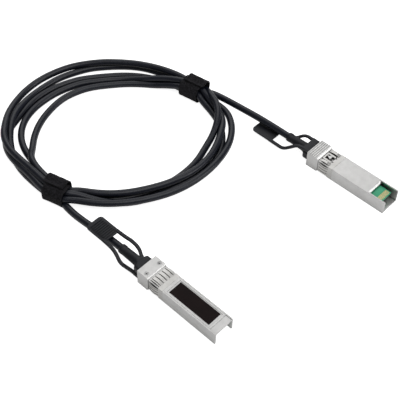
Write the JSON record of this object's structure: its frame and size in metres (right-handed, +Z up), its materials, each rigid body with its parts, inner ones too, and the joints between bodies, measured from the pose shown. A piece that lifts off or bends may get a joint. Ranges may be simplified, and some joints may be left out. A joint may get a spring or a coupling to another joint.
{
  "type": "direct attach copper cable",
  "caption": "Passive copper patch cable with a latching metal plug and pull tab at each end, coiled loosely and held with hook-and-loop straps.",
  "frame": {"origin": "centre of the bottom of the two plugs' bounding box, on the surface that the cable lies on", "axes": "+X from the plugs' noses back along their cable, +Y from plug b across to plug a, +Z up"},
  "size_m": [0.2273, 0.1426, 0.0115],
  "materials": {
    "die_cast_zinc": "satin nickel-plated zinc die casting",
    "screw_steel": "zinc-plated steel",
    "collar_steel": "stamped stainless steel",
    "card_green": "green solder mask",
    "contact_gold": "gold plating",
    "chip_black": "moulded chip package",
    "pair_foil": "foil shield",
    "cable_jacket": "satin black jacket",
    "boot_black": "moulded soft plastic",
    "tab_black": "moulded soft plastic, matt",
    "label_brown": "plain dark film",
    "strap_black": "hook-and-loop webbing"
  },
  "bodies": {
    "cable": {"housing_base_a": "die_cast_zinc", "housing_cover_a": "die_cast_zinc", "cover_screws_a": "screw_steel", "emi_collar_a": "collar_steel", "paddle_card_a": "card_green", "contact_pads_a": "contact_gold", "memory_chip_a": "chip_black", "twinax_pairs_a": "pair_foil", "cable_ferrule_a": "collar_steel", "cable_end_a": "cable_jacket", "strain_boot_a": "boot_black", "return_springs_a": "collar_steel", "housing_base_b": "die_cast_zinc", "housing_cover_b": "die_cast_zinc", "cover_screws_b": "screw_steel", "emi_collar_b": "collar_steel", "paddle_card_b": "card_green", "contact_pads_b": "contact_gold", "memory_chip_b": "chip_black", "twinax_pairs_b": "pair_foil", "cable_ferrule_b": "collar_steel", "cable_end_b": "cable_jacket", "strain_boot_b": "boot_black", "return_springs_b": "collar_steel", "label_a": "label_brown", "cable_lead_a": "cable_jacket", "cable_lead_b": "cable_jacket", "cable_coil": "cable_jacket", "strap_1": "strap_black", "strap_2": "strap_black"},
    "release_a": {"latch_slide_a": "collar_steel", "pull_tab_a": "tab_black"},
    "release_b": {"latch_slide_b": "collar_steel", "pull_tab_b": "tab_black"}
  },
  "joints": [
    {"name": "release_a_pull", "type": "slide", "parent": "cable", "child": "release_a", "axis": [0.9996, 0, 0.0268], "range_m": [0, 0.0022], "stiffness_N_per_m": 600, "springref_m": -0.001, "deforming": ["return_springs_a"]},
    {"name": "release_b_pull", "type": "slide", "parent": "cable", "child": "release_b", "axis": [0.9999, 0, 0.0124], "range_m": [0, 0.0022], "stiffness_N_per_m": 600, "springref_m": -0.001, "deforming": ["return_springs_b"]}
  ]
}
